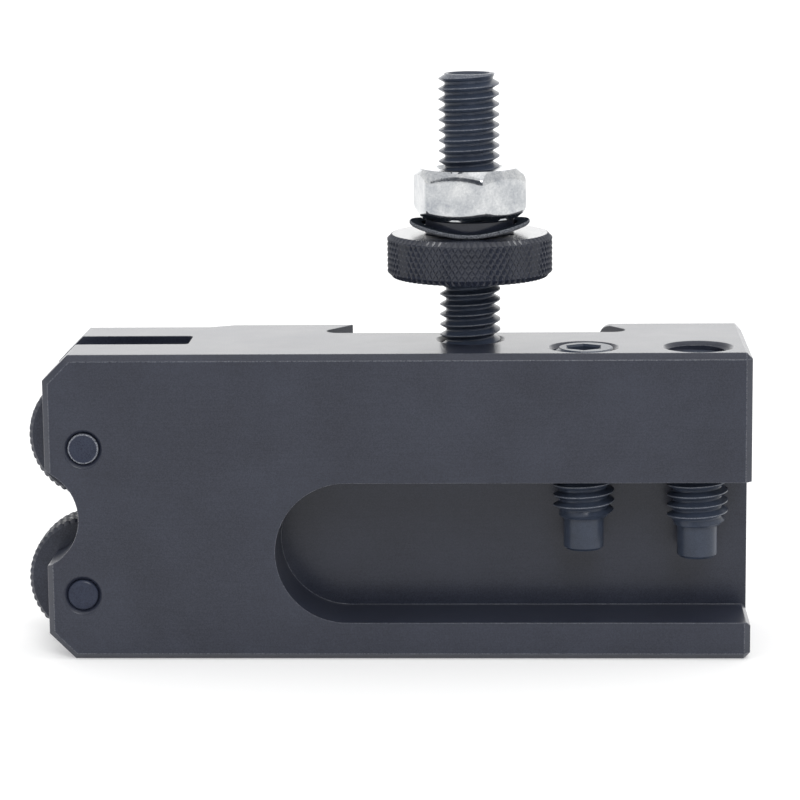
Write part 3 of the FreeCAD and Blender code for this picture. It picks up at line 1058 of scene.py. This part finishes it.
@dataclass
class KnurlWheel:
    """One knurling wheel: a hardened roll with slanted V teeth, bored for its pin."""

    node: str
    body: str
    hand: Hand
    teeth: int = 54
    tooth_depth: float = 0.25 * MM
    tip_share: float = 0.2
    slant: float = math.radians(30)
    rim_chamfer: float = 0.45 * MM
    bore: float = 1.55 * MM
    slices: int = 12
    points_per_tooth: int = 4

    def build(self, finish: bpy.types.Material) -> None:
        """Make the wheel and set it on its pin.

        Args:
            finish: Its finish.
        """
        low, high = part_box(self.node)
        radius = (high.x - low.x) / 2
        half = (high.y - low.y) / 2
        flank = radius - self.rim_chamfer
        stations = [plain(self.bore, -half), plain(flank, -half)]
        for index in range(self.slices + 1):
            height = -half + 2 * half * index / self.slices
            stations.append(self.toothed(radius, half, height))
        stations += [plain(flank, half), plain(self.bore, half), plain(self.bore, -half)]
        bm = bmesh.new()
        loft(bm, stations, self.teeth * self.points_per_tooth)
        weld(bm)
        bmesh.ops.recalc_face_normals(bm, faces=bm.faces)
        bmesh.ops.rotate(bm, verts=bm.verts, cent=(0, 0, 0), matrix=Matrix.Rotation(-math.pi / 2, 3, "X"))
        bmesh.ops.translate(bm, verts=bm.verts, vec=(low + high) / 2)
        add_piece(bm, self.node + "_toothed", self.body, [self.node], finish)

    def toothed(self, radius: float, half: float, height: float) -> Station:
        """Give the ring of teeth at a place across the wheel's width.

        Args:
            radius: The wheel's outer radius.
            half: Half its width.
            height: The place, from the middle of the width.

        Returns:
            The station.
        """
        turn = self.hand.value * height * math.tan(self.slant) / radius
        limit = radius - max(0.0, self.rim_chamfer - (half - abs(height)))

        def station(angle: float) -> tuple[float, float]:
            """Give the radius and height of the teeth at an angle."""
            share = (angle - turn) / FULL_TURN * self.teeth % 1.0
            to_tip = abs(share - 0.5) * 2
            fall = max(0.0, to_tip - self.tip_share) / (1 - self.tip_share)
            return min(radius - self.tooth_depth * fall, limit), height

        return station


# ---------------------------------------------------------------- the clamp screws


@dataclass
class ClampScrew:
    """A set screw with a hexagon socket and a dog point, that presses on the tool."""

    node: str
    body: str
    thread: Thread
    dog_radius: float = 1.95 * MM
    dog_length: float = 3.2 * MM
    dog_edge: float = 0.25 * MM
    shoulder_tip: float = 2.25 * MM
    top_tip: float = 2.75 * MM
    socket_flats: float = 3.0 * MM
    socket_depth: float = 3.5 * MM
    socket_lead: float = 0.2 * MM
    drill_tip: float = 0.1 * MM
    drill_cone: float = 0.5 * MM
    overlap: float = 0.5 * MM

    def build(self, finish: bpy.types.Material) -> None:
        """Make the screw on its axis.

        Args:
            finish: Its finish.
        """
        low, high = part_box(self.node)
        shoulder = low.z + self.dog_length
        bm = self.thread.screw(shoulder, high.z, self.shoulder_tip, self.top_tip)
        bm = combine(bm, self.dog(low.z, shoulder + self.overlap), Merge.ADD)
        bm = combine(bm, self.socket(high.z), Merge.TAKE_OUT)
        bmesh.ops.recalc_face_normals(bm, faces=bm.faces)
        axis = (low + high) / 2
        bmesh.ops.translate(bm, verts=bm.verts, vec=(axis.x, axis.y, 0))
        add_piece(bm, self.node + "_threaded", self.body, [self.node], finish)

    def dog(self, bottom: float, top: float) -> bmesh.types.BMesh:
        """Make the plain round point.

        Args:
            bottom: Height of its end, in metres.
            top: Height to which it reaches up inside the thread.

        Returns:
            The closed point, around the Z axis.
        """
        radius = self.dog_radius
        edge = self.dog_edge
        bm = bmesh.new()
        loft(
            bm,
            [plain(radius - edge, bottom), plain(radius, bottom + edge), plain(radius, top)],
            self.thread.steps,
        )
        fill_flat(bm, bottom)
        fill_flat(bm, top)
        return bm

    def socket(self, top: float) -> bmesh.types.BMesh:
        """Make the hexagon that is taken out for the key, with a conical lead and a drilled end.

        Args:
            top: Height of the screw's upper face, in metres.

        Returns:
            The closed solid to take out, around the Z axis.
        """
        radius = self.socket_flats / 2 / math.cos(HALF_HEXAGON_STEP)
        lead = self.socket_lead
        floor = top - self.socket_depth
        bm = bmesh.new()
        loft(
            bm,
            [
                plain(self.drill_tip, floor - self.drill_cone),
                plain(radius, floor),
                plain(radius, top - lead),
                plain(radius + 2 * lead, top + lead),
            ],
            6,
        )
        fill_flat(bm, floor - self.drill_cone)
        fill_flat(bm, top + lead)
        return bm


# ---------------------------------------------------------------- the studio


@dataclass(frozen=True)
class Softbox:
    """A square lamp that faces the holder, with its place and side in metres and its power in watts."""

    name: str
    place: tuple[float, float, float]
    side: float
    power: float

    def hang(self) -> None:
        """Add the lamp to the scene."""
        data = bpy.data.lights.new(self.name, "AREA")
        data.size = self.side
        data.energy = self.power
        lamp = bpy.data.objects.new(self.name, data)
        bpy.context.scene.collection.objects.link(lamp)
        lamp.location = self.place
        lamp.rotation_euler = (-Vector(self.place)).to_track_quat("-Z", "Y").to_euler()


SOFTBOXES = (
    Softbox("overhead_softbox", (0.0, 0.1, 1.2), 1.2, 2.0),
    Softbox("rear_softbox", (0.0, 1.6, 0.55), 1.6, 5.0),
    Softbox("front_fill", (0.25, -1.1, 0.95), 0.6, 8.5),
)


@dataclass
class Studio:
    """A pale table top under soft light, and the camera."""

    floor_side: float = 6.0
    floor_roughness: float = 0.9
    floor_colour: str = "dcdcdc"
    floor_glow: float = 0.3
    floor_gap: float = 0.02 * MM
    card_width: float = 1.4
    card_height: float = 0.7
    card_place: tuple[float, float, float] = (0.0, -0.9, 0.4)
    card_colour: str = "4c5058"
    sky: str = "ffffff"
    sky_strength: float = 1.0
    camera_place: tuple[float, float, float] = (12.7 * MM, -300.4 * MM, 79.6 * MM)
    camera_turn: float = math.radians(2.414)
    camera_tip: float = math.radians(10.49)
    camera_roll: float = math.radians(-0.614)
    lens: float = 139.8

    def build(self) -> None:
        """Set the floor, the light and the camera."""
        bpy.context.scene.view_settings.view_transform = "Standard"
        self.floor()
        self.dark_card()
        self.light()
        self.camera()

    def floor(self) -> None:
        """Lay the table top at the foot of the holder."""
        bm = bmesh.new()
        bmesh.ops.create_grid(bm, x_segments=1, y_segments=1, size=self.floor_side / 2)
        bmesh.ops.translate(bm, verts=bm.verts, vec=(0, 0, -self.floor_gap))
        mesh = bpy.data.meshes.new("table_top")
        bm.to_mesh(mesh)
        bm.free()
        table = bpy.data.objects.new("table_top", mesh)
        bpy.context.scene.collection.objects.link(table)
        material = bpy.data.materials.new("matt_white_board")
        material.use_nodes = True
        shader = material.node_tree.nodes["Principled BSDF"]
        shader.inputs["Base Color"].default_value = linear(self.floor_colour)
        shader.inputs["Roughness"].default_value = self.floor_roughness
        shader.inputs["Emission Color"].default_value = linear(self.sky)
        shader.inputs["Emission Strength"].default_value = self.floor_glow
        mesh.materials.append(material)

    def dark_card(self) -> None:
        """Stand a dark card behind the camera, which only reflections show."""
        bm = bmesh.new()
        bmesh.ops.create_grid(bm, x_segments=1, y_segments=1, size=0.5)
        bmesh.ops.scale(bm, verts=bm.verts, vec=(self.card_width, self.card_height, 1))
        bmesh.ops.rotate(bm, verts=bm.verts, cent=(0, 0, 0), matrix=Matrix.Rotation(math.pi / 2, 3, "X"))
        bmesh.ops.translate(bm, verts=bm.verts, vec=self.card_place)
        mesh = bpy.data.meshes.new("dark_card")
        bm.to_mesh(mesh)
        bm.free()
        card = bpy.data.objects.new("dark_card", mesh)
        bpy.context.scene.collection.objects.link(card)
        card.visible_camera = False
        card.visible_shadow = False
        material = bpy.data.materials.new("black_felt")
        material.use_nodes = True
        shader = material.node_tree.nodes["Principled BSDF"]
        shader.inputs["Base Color"].default_value = linear(self.card_colour)
        shader.inputs["Roughness"].default_value = 1.0
        mesh.materials.append(material)

    def light(self) -> None:
        """Set an even sky and the soft lamps."""
        world = bpy.data.worlds.new("white_tent")
        bpy.context.scene.world = world
        world.use_nodes = True
        background = world.node_tree.nodes["Background"]
        background.inputs["Color"].default_value = linear(self.sky)
        background.inputs["Strength"].default_value = self.sky_strength
        for softbox in SOFTBOXES:
            softbox.hang()

    def camera(self) -> None:
        """Place the camera."""
        data = bpy.data.cameras.new("camera")
        data.lens = self.lens
        data.clip_start = LENS_NEAR
        data.clip_end = LENS_FAR
        camera = bpy.data.objects.new("camera", data)
        bpy.context.scene.collection.objects.link(camera)
        turn = Matrix.Rotation(self.camera_turn, 4, "Z")
        tip = Matrix.Rotation(math.pi / 2 - self.camera_tip, 4, "X")
        roll = Matrix.Rotation(self.camera_roll, 4, "Z")
        camera.matrix_world = Matrix.Translation(self.camera_place) @ turn @ tip @ roll
        bpy.context.scene.camera = camera


def main() -> None:
    """Build the holder, one sub-assembly after another, and the studio around it."""
    logging.basicConfig(level=logging.INFO, format="%(name)s %(message)s")
    thread = Thread()
    HolderBlock(thread).build()
    screw_finish = HARDWARE_FINISH.material()
    HeightAdjuster(thread).build(screw_finish)
    knurl_finish = KNURL_FINISH.material()
    KnurlWheel("upper_knurl_wheel", "upper_wheel", Hand.RIGHT).build(knurl_finish)
    KnurlWheel("lower_knurl_wheel", "lower_wheel", Hand.LEFT).build(knurl_finish)
    ClampScrew("inner_clamp_screw", "inner_screw", thread).build(screw_finish)
    ClampScrew("outer_clamp_screw", "outer_screw", thread).build(screw_finish)
    Studio().build()


if __name__ == "__main__":
    main()
